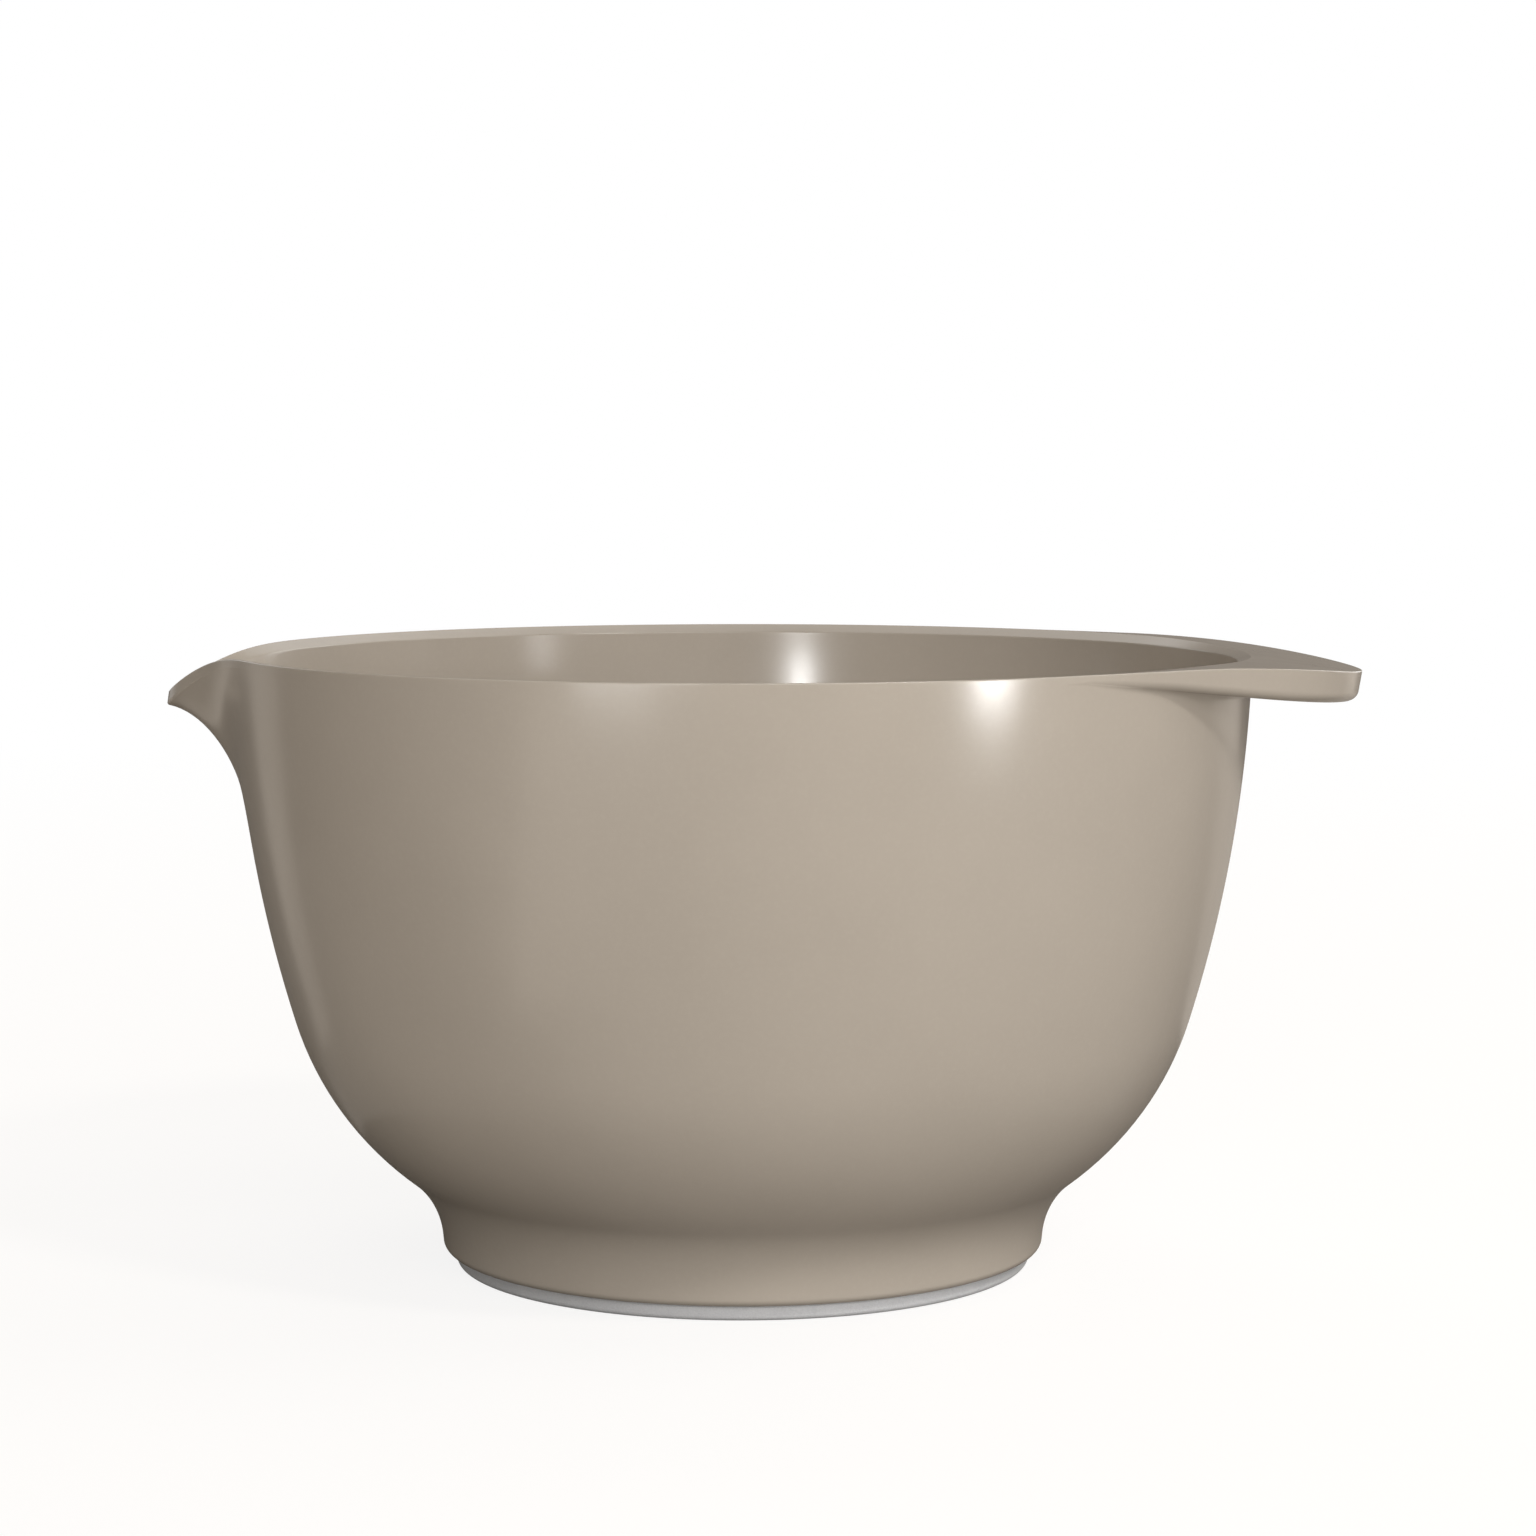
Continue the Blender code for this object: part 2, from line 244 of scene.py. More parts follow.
# Sheets on the floor: name, how far right of the bowl's axis the apex is, first and last azimuth in
# degrees, distances from the apex in metres, glow, and the share of the glow left at the last azimuth.
REFLECTORS = (
    ("reflector_front", 0, -44, -8, 0.20, 2.5, 1.10, 0.0),
    ("reflector_near", 0, -120, 100, 0.12, 0.45, 0.22, 1.0),
    ("reflector_rear_left", -0.115, -123, -140, 0.10, 2.5, 0.66, 1.0),
    ("reflector_rear_right", 0, 130, 160, 0.25, 1.0, 0.45, 1.0),
    ("reflector_far_right", 0, 125, 145, 1.0, 3.5, 0.95, 1.0),
)


def along(centre, radius, lean):
    """The point (radius, height) where the surface round this centre has this lean."""
    return centre[0] + radius * math.cos(lean), centre[1] - radius * math.sin(lean)


def arc(centre, radius, first, last, steps):
    """Points along an arc from one lean to another, both included. A negative radius is hollow."""
    leans = [first + (last - first) * i / steps for i in range(steps + 1)]
    return [along(centre, radius, lean) for lean in leans]


WALL_CENTRE = along((RIM_RADIUS, RIM_HEIGHT), -WALL_ARC, RIM_LEAN)
BELLY_CENTRE = along(WALL_CENTRE, WALL_ARC - BELLY_ARC, BELLY_LEAN)
NECK_CENTRE = along(BELLY_CENTRE, BELLY_ARC + NECK_ARC, NECK_LEAN)
FLOOR_CENTRE = along(BELLY_CENTRE, BELLY_ARC - WALL - FLOOR_ARC, FLOOR_LEAN)
FLOOR_HEIGHT = FLOOR_CENTRE[1] - FLOOR_ARC


def heading(start, end):
    """Direction of travel from one (radius, depth) point to another: 0 is outward and 90 degrees down."""
    return math.atan2(end[1] - start[1], end[0] - start[0])


def turned(centre, radius, first, last, steps):
    """Points of a path that turns round a centre from one heading to another, both included.

    The plastic is to the left of the path, and a negative radius is a hollow turn.
    """
    headings = [first + (last - first) * i / steps for i in range(steps + 1)]
    return [(centre[0] + radius * math.sin(h), centre[1] - radius * math.cos(h)) for h in headings]


def ball_centre(point, first, other, last, radius):
    """Centre of the ball that touches two lines, each through its own point at its own heading."""
    shifted = (point[0] - radius * math.sin(first), point[1] + radius * math.cos(first))
    goal = (other[0] - radius * math.sin(last), other[1] + radius * math.cos(last))
    gap = (goal[0] - shifted[0], goal[1] - shifted[1])
    travel = (gap[0] * math.sin(last) - gap[1] * math.cos(last)) / math.sin(last - first)
    return shifted[0] + travel * math.cos(first), shifted[1] + travel * math.sin(first)


def corner_turn(before, corner, after, radius):
    """Points of a rounded corner of the path."""
    first = heading(before, corner)
    last = heading(corner, after)
    cut = CORNER_SHARE * min(math.dist(before, corner), math.dist(corner, after))
    turn = last - first
    if abs(turn) < STRAIGHT:
        return [corner] * (ROUND_STEPS + 1)
    radius = math.copysign(min(radius, cut / abs(math.tan(turn / 2))), turn)
    centre = ball_centre(corner, first, corner, last, radius)
    return turned(centre, radius, first, last, ROUND_STEPS)


def wall_radius(depth, inset=0.0):
    """Radius of the turned wall at a depth below the rim, on its outer face or inset from it."""
    radius = WALL_ARC - inset
    lean = math.asin((WALL_ARC * math.sin(RIM_LEAN) + depth) / radius)
    return WALL_CENTRE[0] + radius * math.cos(lean)


def from_spout(angle):
    """Angle round the axis from the middle of the spout."""
    return math.pi - angle


def spout_pull(angle):
    """1 at the middle of the spout, falling to nothing round the rim."""
    return math.exp(-((from_spout(angle) / SPOUT_ANGLE) ** SPOUT_FADE))


def lip_radius(angle):
    """Distance of the rim's outer edge from the bowl's axis, away from the grip."""
    return RIM_RADIUS + (SPOUT_REACH - RIM_RADIUS) * spout_pull(angle)


def lip_drop(angle):
    """How far the lip lies below the rim, which it does only at the spout."""
    return SPOUT_DROP * math.exp(-((from_spout(angle) / DROP_ANGLE) ** DROP_FADE))


def flared(corner_radius, corner_depth, inset, steps):
    """(radius, depth) points down the wall from a corner at the lip to where the spout's flare ends."""
    pull = corner_radius - wall_radius(corner_depth, inset)
    points = []
    for i in range(steps + 1):
        turn = FLARE_TURN * (1 - i / steps)
        rise = math.sin(turn) / math.sin(FLARE_TURN)
        share = (1 - math.cos(turn)) / (1 - math.cos(FLARE_TURN))
        depth = FLARE_DEPTH - (FLARE_DEPTH - corner_depth) * rise
        points.append((wall_radius(depth, inset) + pull * share, depth))
    return points


def circle_reach(centre, radius, angle):
    """Distance from the bowl's axis, in this direction, to a circle in plan that goes round the axis."""
    ahead = centre[0] * math.cos(angle) + centre[1] * math.sin(angle)
    return ahead + math.sqrt(radius**2 - centre[0] ** 2 - centre[1] ** 2 + ahead**2)


GRIP_END_CENTRE = (GRIP_REACH - GRIP_END_ARC, 0.0)
SIDE_X = (
    GRIP_END_CENTRE[0] ** 2
    - (GRIP_SIDE_ARC - GRIP_END_ARC) ** 2
    + (GRIP_SIDE_ARC - RIM_RADIUS) ** 2
) / (2 * GRIP_END_CENTRE[0])
GRIP_SIDE_CENTRE = (SIDE_X, -math.sqrt((GRIP_SIDE_ARC - RIM_RADIUS) ** 2 - SIDE_X**2))


def tangent_angle():
    """Direction in which the grip's side arc leaves the rim."""
    return math.atan2(-GRIP_SIDE_CENTRE[1], -GRIP_SIDE_CENTRE[0])


def end_angle():
    """Direction in which the grip's side arc meets its end arc."""
    across = -GRIP_SIDE_CENTRE[1]
    along_x = GRIP_END_CENTRE[0] - GRIP_SIDE_CENTRE[0]
    turn = math.atan2(across, along_x)
    return math.atan2(
        GRIP_END_ARC * math.sin(turn),
        GRIP_END_CENTRE[0] + GRIP_END_ARC * math.cos(turn),
    )


def grip_reach(angle):
    """Distance of the grip's outline, or of the plain rim beside it, from the bowl's axis."""
    if angle >= tangent_angle():
        return RIM_RADIUS
    if angle >= end_angle():
        return circle_reach(GRIP_SIDE_CENTRE, GRIP_SIDE_ARC, angle)
    return circle_reach(GRIP_END_CENTRE, GRIP_END_ARC, angle)


def grip_top(x):
    """Depth of the grip's top below the rim."""
    past = max(0.0, x - GRIP_TOP_START)
    return GRIP_TOP_ARC - math.sqrt(GRIP_TOP_ARC**2 - past**2)


def grip_slope(x):
    """How steeply the grip's top falls outward."""
    past = max(0.0, x - GRIP_TOP_START)
    return past / math.sqrt(GRIP_TOP_ARC**2 - past**2)


def grip_under(x):
    """Depth of the grip's underside below the rim."""
    return max(GRIP_LEAST_EDGE, GRIP_UNDER_SLOPE * (x - GRIP_UNDER_START))


def mouth(angle):
    """(radius, depth) of the inner corner of the rim's bevel."""
    bevel_width = RIM_RADIUS - wall_radius(BEVEL_DROP, WALL)
    shrink = 1 - (1 - LIP_BEVEL_LEFT) * spout_pull(angle)
    return lip_radius(angle) - bevel_width * shrink, lip_drop(angle) + BEVEL_DROP * shrink


def mouth_round(angle):
    """Radius of the round at the inner corner of the bevel, which grows towards the spout."""
    share = math.exp(-((from_spout(angle) / MOUTH_SPREAD) ** 2))
    return MOUTH_ROUND + (SPOUT_MOUTH_ROUND - MOUTH_ROUND) * share


def crest_ball(angle):
    """Centre of the round along the rim's crest, which touches the rim's height and its outer side."""
    depth = grip_top(RIM_RADIUS * math.cos(angle)) + lip_drop(angle)
    return lip_radius(angle) - CREST_ROUND, depth + CREST_ROUND


def bevel_heading(angle):
    """Heading of the bevel, from the mouth's corner to where it touches the crest's round."""
    corner = mouth(angle)
    ball = crest_ball(angle)
    return heading(corner, ball) - math.asin(CREST_ROUND / math.dist(corner, ball))


def lip_path(angle):
    """(radius, depth) points over the rim away from the grip, from its crest to its lower corner.

    Repeated points bring their number up to the grip's, and are welded together later.
    """
    pull = spout_pull(angle)
    edge_share = math.exp(-((from_spout(angle) / LIP_EDGE_ANGLE) ** 2))
    depth = lip_drop(angle) + GRIP_LEAST_EDGE + (LIP_EDGE - GRIP_LEAST_EDGE) * edge_share
    wall = wall_radius(depth)
    corner = (wall + (lip_radius(angle) - RIM_RADIUS) + (LIP_LEAN_OUT + RIM_RADIUS - wall) * pull, depth)
    down = heading((lip_radius(angle), lip_drop(angle) + CREST_ROUND), corner)
    crest = turned(crest_ball(angle), CREST_ROUND, bevel_heading(angle), down, ROUND_STEPS)
    below = flared(*corner, 0.0, FLARE_STEPS)[1]
    under = corner_turn(crest[-1], corner, below, LIP_CORNER_ROUND)
    crest_fill = [crest[-1]] * (TOP_STEPS + ROUND_STEPS + 1)
    under_fill = [under[-1]] * (ROUND_STEPS + 1)
    return crest + crest_fill + under + under_fill


def grip_path(angle):
    """(radius, depth) points over the grip: the crest, its top, its edge, its underside and its root."""
    ahead = math.cos(angle)
    reach = grip_reach(angle)
    draft = GRIP_DRAFT * min(1.0, (reach - RIM_RADIUS) / GRIP_FILLET)
    down = math.pi / 2 + draft
    top = grip_top(reach * ahead)
    edge_ball = (reach - CREST_ROUND, top + CREST_ROUND)
    inner_top = math.atan(grip_slope(RIM_RADIUS * ahead) * ahead)
    outer_top = math.atan(grip_slope(reach * ahead) * ahead)
    crest = turned(crest_ball(angle), CREST_ROUND, bevel_heading(angle), inner_top, ROUND_STEPS)
    edge = turned(edge_ball, CREST_ROUND, outer_top, down, ROUND_STEPS)
    step = (edge[0][0] - crest[-1][0]) / (TOP_STEPS + 1)
    radii = [crest[-1][0] + step * (i + 1) for i in range(TOP_STEPS)]
    tops = [(r, grip_top(r * ahead)) for r in radii]

    under = grip_under(reach * ahead)
    root_depth = grip_under((RIM_RADIUS + GRIP_FILLET) * ahead)
    wall = wall_radius(root_depth)
    side = reach - (under - GRIP_EDGE_ROUND - top) * math.tan(draft)
    rounds = GRIP_EDGE_ROUND + GRIP_FILLET
    overlap = max(0.0, wall + rounds - side) / rounds
    drop = math.sqrt(max(0.0, 1 - overlap**2))
    inward = max(down, math.atan2(overlap, -drop))
    lower_ball = (side - GRIP_EDGE_ROUND, under - GRIP_EDGE_ROUND * drop)
    root_ball = (wall + GRIP_FILLET, root_depth + GRIP_FILLET * drop)
    lower = turned(lower_ball, GRIP_EDGE_ROUND, down, inward, ROUND_STEPS)
    root = turned(root_ball, -GRIP_FILLET, inward, math.pi / 2 + RIM_LEAN, ROUND_STEPS)
    return crest + tops + edge + lower + root


def inside_path(angle):
    """The inside up to the mouth's corner.

    First (radius, height) points from the middle of the floor to where the spout's flare ends, then
    (radius, depth) points from there up.
    """
    upper = flared(*mouth(angle), WALL, FLARE_STEPS)
    join_lean = math.asin((WALL_CENTRE[1] - RIM_HEIGHT + FLARE_DEPTH) / (WALL_ARC - WALL))
    middle = [(FLOOR_CENTRE[0] * i / FLAT_STEPS, FLOOR_HEIGHT) for i in range(FLAT_STEPS)]
    floor = arc(FLOOR_CENTRE, FLOOR_ARC, math.pi / 2, FLOOR_LEAN, FLOOR_STEPS)
    belly = arc(BELLY_CENTRE, BELLY_ARC - WALL, FLOOR_LEAN, BELLY_LEAN, INNER_BELLY_STEPS)[1:]
    wall = arc(WALL_CENTRE, WALL_ARC - WALL, BELLY_LEAN, join_lean, WALL_STEPS)[1:-1]
    return middle + floor + belly + wall, list(reversed(upper))


def outside_path(start):
    """(radius, height) points of the outside, from under the rim down to the foot's bottom corner."""
    upper = flared(*start, 0.0, FLARE_STEPS)[1:]
    join_lean = math.asin((WALL_CENTRE[1] - RIM_HEIGHT + FLARE_DEPTH) / WALL_ARC)
    wall = arc(WALL_CENTRE, WALL_ARC, join_lean, BELLY_LEAN, WALL_STEPS)[1:]
    belly = arc(BELLY_CENTRE, BELLY_ARC, BELLY_LEAN, NECK_LEAN, BELLY_STEPS)[1:]
    neck = arc(NECK_CENTRE, -NECK_ARC, NECK_LEAN, FOOT_DRAFT, NECK_STEPS)[1:]
    corner_height = FOOT_BOTTOM + FOOT_CORNER
    drop = neck[-1][1] - (corner_height - FOOT_CORNER * math.sin(FOOT_DRAFT))
    foot_radius = neck[-1][0] - drop * math.tan(FOOT_DRAFT)
    corner_centre = (foot_radius - FOOT_CORNER * math.cos(FOOT_DRAFT), corner_height)
    corner = arc(corner_centre, FOOT_CORNER, FOOT_DRAFT, math.pi / 2, FOOT_CORNER_STEPS)
    return [(r, RIM_HEIGHT - depth) for r, depth in upper] + wall + belly + neck + corner


def under_path():
    """(radius, height) points under the foot: the ring's groove, the recess and its middle."""
    recess_centre = (RECESS_RADIUS - RECESS_ROUND, RECESS_TOP - RECESS_ROUND)
    turns = [math.pi / 2 * i / RECESS_STEPS for i in range(RECESS_STEPS + 1)]
    recess = [
        (recess_centre[0] + RECESS_ROUND * math.cos(t), recess_centre[1] + RECESS_ROUND * math.sin(t))
        for t in turns
    ]
    return [
        (GROOVE_OUTER, FOOT_BOTTOM),
        (GROOVE_OUTER, GROOVE_TOP),
        (GROOVE_INNER, GROOVE_TOP),
        (GROOVE_INNER, FOOT_BOTTOM),
        (RECESS_RADIUS, FOOT_BOTTOM),
        *recess,
        *[(RECESS_RADIUS * i / FLAT_STEPS, RECESS_TOP) for i in range(FLAT_STEPS - 1, -1, -1)],
    ]


def section(angle):
    """The whole cross-section of the bowl in one direction from its axis, as (radius, height)."""
    inside, upper = inside_path(angle)
    over = grip_path(angle) if angle < tangent_angle() else lip_path(angle)
    mouth_turn = corner_turn(upper[-2], upper[-1], over[0], mouth_round(angle))
    rim = upper[:-1] + mouth_turn + over
    return inside + [(r, RIM_HEIGHT - d) for r, d in rim] + outside_path(over[-1]) + under_path()


def spaced(first, last, steps, ease=1.0):
    """Angles from first to last, the last one left out, closer together near last where ease > 1."""
    return [last + (first - last) * (1 - i / steps) ** ease for i in range(steps)]


def station_angles():
    """Directions of the sections over half the bowl, from the middle of the grip to the spout."""
    back = math.pi - SPOUT_SPREAD
    return (
        spaced(0.0, end_angle(), END_STEPS)
        + spaced(end_angle(), tangent_angle(), SIDE_STEPS, SIDE_EASE)
        + spaced(tangent_angle(), back, BACK_STEPS)
        + spaced(back, math.pi, SPOUT_STEPS, SPOUT_EASE)
        + [math.pi]
    )


def smooth_object(name, mesh, material, node):
    """Puts a finished mesh in the scene in place of its CAD node."""
    mesh.materials.append(material)
    mesh.shade_smooth()
    mesh.set_sharp_from_angle(angle=SHARP_ANGLE)
    obj = bpy.data.objects.new(name, mesh)
    bpy.context.scene.collection.objects.link(obj)
    weighted = obj.modifiers.new("weighted_normals", "WEIGHTED_NORMAL")
    weighted.keep_sharp = True
    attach(obj, "root")
    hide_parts(node)
    return obj


def make_shell(material):
    """The melamine shell, lofted right round through its sections."""
    half = station_angles()
    sections = [(angle, section(angle)) for angle in half]
    round_trip = sections + [(-angle, points) for angle, points in reversed(sections[1:-1])]
    shell = bmesh.new()
    rows = [
        [shell.verts.new((AXIS_X + r * math.cos(a), r * math.sin(a), z)) for r, z in points]
        for a, points in round_trip
    ]
    for row, following in zip(rows, rows[1:] + rows[:1]):
        for i in range(len(row) - 1):
            shell.faces.new((row[i], following[i], following[i + 1], row[i + 1]))
    bmesh.ops.remove_doubles(shell, verts=shell.verts, dist=WELD)
    bmesh.ops.dissolve_degenerate(shell, edges=shell.edges, dist=WELD)
    bmesh.ops.recalc_face_normals(shell, faces=shell.faces)
    mesh = bpy.data.meshes.new("bowl_shell")
    shell.to_mesh(mesh)
    shell.free()
    return smooth_object("bowl_shell", mesh, material, "bowl")


def ring_path():
    """(radius, height) points round the ring's section: its tongue, then its sole."""
    sole_top = FOOT_BOTTOM - GAP
    tongue_outer = GROOVE_OUTER - GAP
    tongue_inner = GROOVE_INNER + GAP
    outer_round = arc((SOLE_OUTER - SOLE_ROUND, SOLE_ROUND), SOLE_ROUND, 0, math.pi / 2, SOLE_STEPS)
    inner_centre = (SOLE_INNER + SOLE_ROUND, SOLE_ROUND)
    inner_round = arc(inner_centre, SOLE_ROUND, math.pi / 2, math.pi, SOLE_STEPS)
    top_outer = (SOLE_OUTER - SOLE_TOP_ROUND, sole_top - SOLE_TOP_ROUND)
    top_inner = (SOLE_INNER + SOLE_TOP_ROUND, sole_top - SOLE_TOP_ROUND)
    return [
        (tongue_inner, RING_TOP),
        (tongue_outer, RING_TOP),
        (tongue_outer, sole_top),
        *arc(top_outer, SOLE_TOP_ROUND, -math.pi / 2, 0, SOLE_TOP_STEPS),
        *outer_round,
        *inner_round,
        *arc(top_inner, SOLE_TOP_ROUND, math.pi, math.pi * 1.5, SOLE_TOP_STEPS),
        (tongue_inner, sole_top),
    ]


def make_ring(material):
    """The rubber ring, turned round the bowl's axis."""
    profile = ring_path()
    ring = bmesh.new()
    rows = []
    for i in range(RING_STEPS):
        a = 2 * math.pi * i / RING_STEPS
        row = [ring.verts.new((AXIS_X + r * math.cos(a), r * math.sin(a), z)) for r, z in profile]
        rows.append(row)
    for row, following in zip(rows, rows[1:] + rows[:1]):
        for i in range(len(row)):
            j = (i + 1) % len(row)
            ring.faces.new((row[i], row[j], following[j], following[i]))
    bmesh.ops.recalc_face_normals(ring, faces=ring.faces)
    mesh = bpy.data.meshes.new("ring_body")
    ring.to_mesh(mesh)
    ring.free()
    return smooth_object("ring_body", mesh, material, "non_slip_ring")


def new_material(name):
    material = bpy.data.materials.new(name)
    material.use_nodes = True
    return material, material.node_tree


def add_node(tree, kind, **settings):
    """A new node. Each setting is the name of a property or, failing that, of an input socket."""
    node = tree.nodes.new(kind)
    for key, value in settings.items():
        if hasattr(node, key):
            setattr(node, key, value)
        else:
            node.inputs[key].default_value = value
    return node


def noise(tree, where, scale, detail, roughness):
    """Noise between 0 and 1 whose grains are about 1 / scale metres across."""
    node = add_node(tree, "ShaderNodeTexNoise", Scale=scale, Detail=detail, Roughness=roughness)
    tree.links.new(where, node.inputs["Vector"])
    return node.outputs["Fac"]


def remap(tree, value, low, high, to_low=0.0, to_high=1.0):
    """The value moved from one range to another, and held inside it."""
    node = tree.nodes.new("ShaderNodeMapRange")
    node.inputs["From Min"].default_value = low
    node.inputs["From Max"].default_value = high
    node.inputs["To Min"].default_value = to_low
    node.inputs["To Max"].default_value = to_high
    tree.links.new(value, node.inputs["Value"])
    return node.outputs["Result"]


def calculate(tree, operation, *values):
    """A maths node over sockets and plain numbers."""
    node = tree.nodes.new("ShaderNodeMath")
    node.operation = operation
    for socket, value in zip(node.inputs, values):
        if isinstance(value, (int, float)):
            socket.default_value = value
        else:
            tree.links.new(value, socket)
    return node.outputs["Value"]


def blend_colour(tree, share, first, second):
    """The first colour at share 0 and the second at share 1.

    The colour sockets of a Mix node are its inputs 6 and 7 and its output 2.
    """
    node = tree.nodes.new("ShaderNodeMix")
    node.data_type = "RGBA"
    tree.links.new(share, node.inputs["Factor"])
    for socket, colour in ((node.inputs[6], first), (node.inputs[7], second)):
        if isinstance(colour, tuple):
            socket.default_value = (*colour, 1)
        else:
            tree.links.new(colour, socket)
    return node.outputs[2]


def bumped(tree, shader, height, distance, strength):
    """Gives the shader bumps as deep as the distance."""
    node = add_node(tree, "ShaderNodeBump", Strength=strength, Distance=distance)
    tree.links.new(height, node.inputs["Height"])
    tree.links.new(node.outputs["Normal"], shader.inputs["Normal"])


def object_point(tree):
    """The surface point in the object's own metres."""
    return tree.nodes.new("ShaderNodeTexCoord").outputs["Object"]


def reach_and_height(tree, where):
    """The surface point's distance from the bowl's axis, and its height."""
    split = tree.nodes.new("ShaderNodeSeparateXYZ")
    tree.links.new(where, split.inputs["Vector"])
    across = calculate(tree, "SUBTRACT", split.outputs["X"], AXIS_X)
    deep = split.outputs["Y"]
    square = calculate(tree, "MULTIPLY", deep, deep)
    squares = calculate(tree, "MULTIPLY_ADD", across, across, square)
    return calculate(tree, "SQRT", squares), split.outputs["Z"]


def melamine_wear(tree, where):
    """How worn the melamine is, from 0 to 1: patchy, on the rim's top edge and the foot's bottom."""
    radius, height = reach_and_height(tree, where)
    rim_top = remap(tree, height, RIM_HEIGHT - RIM_WEAR[0], RIM_HEIGHT - RIM_WEAR[1])
    off_grip = remap(tree, radius, RIM_RADIUS + GRIP_CLEAR[0], RIM_RADIUS + GRIP_CLEAR[1])
    rim_edge = calculate(tree, "MULTIPLY", rim_top, off_grip)
    foot_edge = remap(tree, height, FOOT_BOTTOM + FOOT_WEAR[0], FOOT_BOTTOM + FOOT_WEAR[1])
    rubbed = remap(tree, noise(tree, where, *RUBBING), *SOFT, LEAST_RUBBED, 1)
    return calculate(tree, "MULTIPLY", calculate(tree, "MAXIMUM", rim_edge, foot_edge), rubbed)


def make_melamine():
    """Glossy moulded melamine: faint clouding and flecks, worn edges and a soft moulded skin."""
    material, tree = new_material("melamine_gloss")
    shader = tree.nodes["Principled BSDF"]
    where = object_point(tree)
    wear = melamine_wear(tree, where)

    clouds = remap(tree, noise(tree, where, *CLOUDS), *STRONG)
    flecks = remap(tree, noise(tree, where, *FLECKS), *PEAKS)
    body = blend_colour(tree, clouds, MELAMINE_DEEP, MELAMINE_PALE)
    fleck_share = calculate(tree, "MULTIPLY", flecks, FLECK_SHARE)
    flecked = blend_colour(tree, fleck_share, body, MELAMINE_FLECK)
    worn = blend_colour(tree, calculate(tree, "MULTIPLY", wear, WORN_SHARE), flecked, MELAMINE_WORN)
    tree.links.new(worn, shader.inputs["Base Color"])

    glossiest = GLOSS_ROUGHNESS - GLOSS_SPREAD
    dullest = GLOSS_ROUGHNESS + GLOSS_SPREAD
    smears = remap(tree, noise(tree, where, *SMEARS), *SOFT, glossiest, dullest)
    dulled = calculate(tree, "MULTIPLY_ADD", wear, WORN_DULLING, smears)
    tree.links.new(dulled, shader.inputs["Roughness"])

    waves = noise(tree, where, *WAVES)
    skin = noise(tree, where, *SKIN)
    relief = calculate(tree, "MULTIPLY_ADD", skin, SKIN_SHARE, waves)
    bumped(tree, shader, relief, MELAMINE_RELIEF, 1.0)
    shader.inputs["IOR"].default_value = MELAMINE_IOR
    return material


def make_rubber():
    """Matt grey rubber with a fine grain, a little pale dust and duller patches."""
    material, tree = new_material("rubber_grey")
    shader = tree.nodes["Principled BSDF"]
    where = object_point(tree)

    grain = noise(tree, where, *RUBBER_GRAIN)
    dust = remap(tree, noise(tree, where, *DUST), *PEAKS)
    mottled = blend_colour(tree, remap(tree, grain, *SOFT), RUBBER_DEEP, RUBBER_PALE)
    dust_share = calculate(tree, "MULTIPLY", dust, DUST_SHARE)
    dusty = blend_colour(tree, dust_share, mottled, RUBBER_DUST)
    tree.links.new(dusty, shader.inputs["Base Color"])
    rough = remap(tree, noise(tree, where, *DULL_PATCHES), *SOFT, *RUBBER_ROUGHNESS)
    tree.links.new(rough, shader.inputs["Roughness"])
    bumped(tree, shader, grain, RUBBER_RELIEF, RUBBER_BUMP)
    return material


def make_floor_material():
    """A plain matt floor, which the camera sees lifted to near white and fading into the backdrop."""
    material, tree = new_material("floor_pale")
    shader = tree.nodes["Principled BSDF"]
    shader.inputs["Base Color"].default_value = (*FLOOR_COLOUR, 1)
    shader.inputs["Roughness"].default_value = 1.0
    shader.inputs["Specular IOR Level"].default_value = 0.0
    seen = tree.nodes.new("ShaderNodeLightPath").outputs["Is Camera Ray"]
    length = add_node(tree, "ShaderNodeVectorMath", operation="LENGTH")
    tree.links.new(object_point(tree), length.inputs[0])
    far = remap(tree, length.outputs["Value"], FLOOR_FADE_START, FLOOR_FADE_END)
    lift = add_node(tree, "ShaderNodeEmission")
    tree.links.new(calculate(tree, "MULTIPLY", seen, FLOOR_LIFT), lift.inputs["Strength"])
    near = tree.nodes.new("ShaderNodeAddShader")
    tree.links.new(shader.outputs["BSDF"], near.inputs[0])
    tree.links.new(lift.outputs["Emission"], near.inputs[1])
    white = add_node(tree, "ShaderNodeEmission", Strength=1.0)
    fade = tree.nodes.new("ShaderNodeMixShader")
    tree.links.new(calculate(tree, "MULTIPLY", seen, far), fade.inputs["Fac"])
    tree.links.new(near.outputs["Shader"], fade.inputs[1])
    tree.links.new(white.outputs["Emission"], fade.inputs[2])
    tree.links.new(fade.outputs["Shader"], tree.nodes["Material Output"].inputs["Surface"])
    return material


def make_floor():
    """A round floor, just clear of the ring's sole."""
    material = make_floor_material()
    floor = bmesh.new()
    bmesh.ops.create_circle(floor, cap_ends=True, segments=FLOOR_EDGES, radius=FLOOR_RADIUS)
    mesh = bpy.data.meshes.new("studio_floor")
    floor.to_mesh(mesh)
    floor.free()
    mesh.materials.append(material)
    obj = bpy.data.objects.new("studio_floor", mesh)
    obj.location.z = -FLOOR_CLEARANCE
    bpy.context.scene.collection.objects.link(obj)


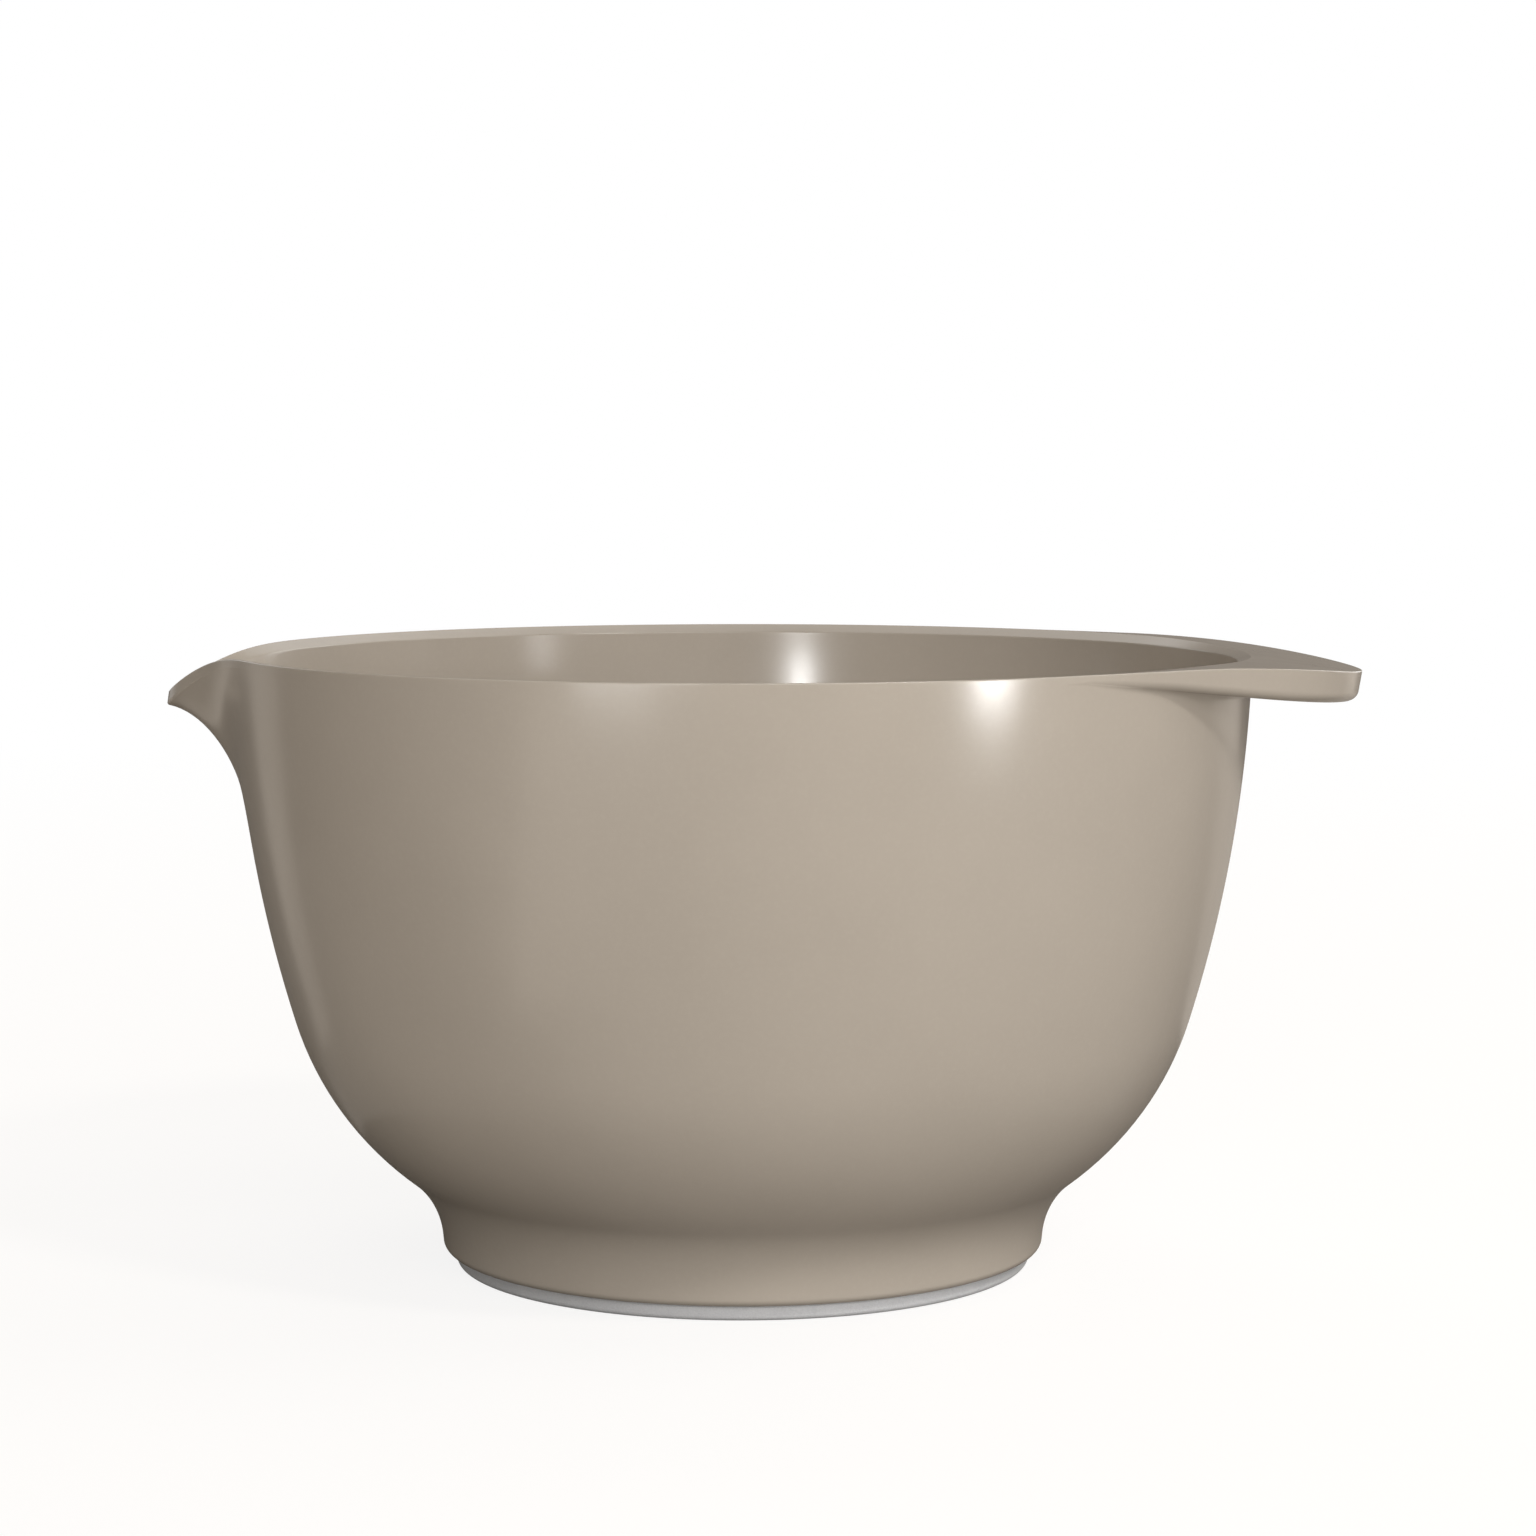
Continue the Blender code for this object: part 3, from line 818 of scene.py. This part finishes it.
def make_camera():
    data = bpy.data.cameras.new("camera")
    data.sensor_width = CAMERA_SENSOR
    data.lens = CAMERA_LENS
    camera = bpy.data.objects.new("camera", data)
    camera.location = (AXIS_X + CAMERA_RIGHT, -CAMERA_BACK, CAMERA_HEIGHT)
    camera.rotation_euler = (math.pi / 2 - CAMERA_DIP, 0, 0)
    bpy.context.scene.collection.objects.link(camera)
    bpy.context.scene.camera = camera


def soft_light(name, azimuth, elevation, distance, width, height, power, shape):
    """A soft box aimed at the bowl, unseen by the camera."""
    data = bpy.data.lights.new(name, "AREA")
    data.shape = shape
    data.size = width
    data.size_y = height
    data.energy = power
    light = bpy.data.objects.new(name, data)
    turn = math.radians(azimuth)
    rise = math.radians(elevation)
    target = Vector((AXIS_X, 0, LIGHT_TARGET_HEIGHT))
    level = math.cos(rise)
    away = Vector((level * math.sin(turn), -level * math.cos(turn), math.sin(rise)))
    light.location = target + away * distance
    light.rotation_euler = (-away).to_track_quat("-Z", "Y").to_euler()
    light.visible_camera = False
    bpy.context.scene.collection.objects.link(light)


def make_world():
    """Plain white behind the object, and a dim warm fill for everything but the camera."""
    world = bpy.data.worlds.new("studio")
    world.use_nodes = True
    tree = world.node_tree
    seen = tree.nodes.new("ShaderNodeLightPath").outputs["Is Camera Ray"]
    background = tree.nodes["Background"]
    background.inputs["Strength"].default_value = 1
    tree.links.new(blend_colour(tree, seen, WORLD_FILL, (1, 1, 1)), background.inputs["Color"])
    bpy.context.scene.world = world


def make_glow(name, radiance):
    """A material that glows by the mesh's own glow attribute on its front, and is clear from behind."""
    material, tree = new_material(name)
    glow = tree.nodes.new("ShaderNodeEmission")
    share = add_node(tree, "ShaderNodeAttribute", attribute_name="glow").outputs["Fac"]
    tree.links.new(calculate(tree, "MULTIPLY", share, radiance), glow.inputs["Strength"])
    glow.inputs["Color"].default_value = (*REFLECTOR_COLOUR, 1)
    clear = tree.nodes.new("ShaderNodeBsdfTransparent")
    one_sided = tree.nodes.new("ShaderNodeMixShader")
    behind = tree.nodes.new("ShaderNodeNewGeometry").outputs["Backfacing"]
    tree.links.new(behind, one_sided.inputs["Fac"])
    tree.links.new(glow.outputs["Emission"], one_sided.inputs[1])
    tree.links.new(clear.outputs["BSDF"], one_sided.inputs[2])
    tree.links.new(one_sided.outputs["Shader"], tree.nodes["Material Output"].inputs["Surface"])
    return material


def sheet_mesh(name, apex, first, last, near, far):
    """A flat sector just over the floor, facing up. Its points run in pairs from azimuth to azimuth."""
    sheet = bmesh.new()
    rows = []
    for i in range(REFLECTOR_STEPS + 1):
        turn = math.radians(first + (last - first) * i / REFLECTOR_STEPS)
        rows.append([
            sheet.verts.new((AXIS_X + apex + r * math.sin(turn), -r * math.cos(turn), REFLECTOR_HEIGHT))
            for r in (near, far)
        ])
    for row, following in zip(rows, rows[1:]):
        sheet.faces.new((row[0], row[1], following[1], following[0]))
    bmesh.ops.recalc_face_normals(sheet, faces=sheet.faces)
    if sheet.faces[:][0].normal.z < 0:
        bmesh.ops.reverse_faces(sheet, faces=sheet.faces)
    mesh = bpy.data.meshes.new(name)
    sheet.to_mesh(mesh)
    sheet.free()
    return mesh


def make_reflector(name, apex, first, last, near, far, radiance, last_share):
    """A sheet on the floor that glows upwards, and fades across to its last share.

    The bowl reflects it. The camera doesn't see it, and it doesn't light the floor below it.
    """
    material = make_glow(name, radiance)
    mesh = sheet_mesh(name, apex, first, last, near, far)
    mesh.materials.append(material)
    glows = mesh.attributes.new("glow", "FLOAT", "POINT")
    for i in range(REFLECTOR_STEPS + 1):
        level = 1 + (last_share - 1) * i / REFLECTOR_STEPS
        glows.data[2 * i].value = level
        glows.data[2 * i + 1].value = level
    obj = bpy.data.objects.new(name, mesh)
    obj.visible_camera = False
    bpy.context.scene.collection.objects.link(obj)


def main():
    make_shell(make_melamine())
    make_ring(make_rubber())
    make_floor()
    make_camera()
    make_world()
    for soft_box in SOFT_BOXES:
        soft_light(*soft_box)
    for reflector in REFLECTORS:
        make_reflector(*reflector)
    bpy.context.scene.view_settings.view_transform = "Standard"


main()
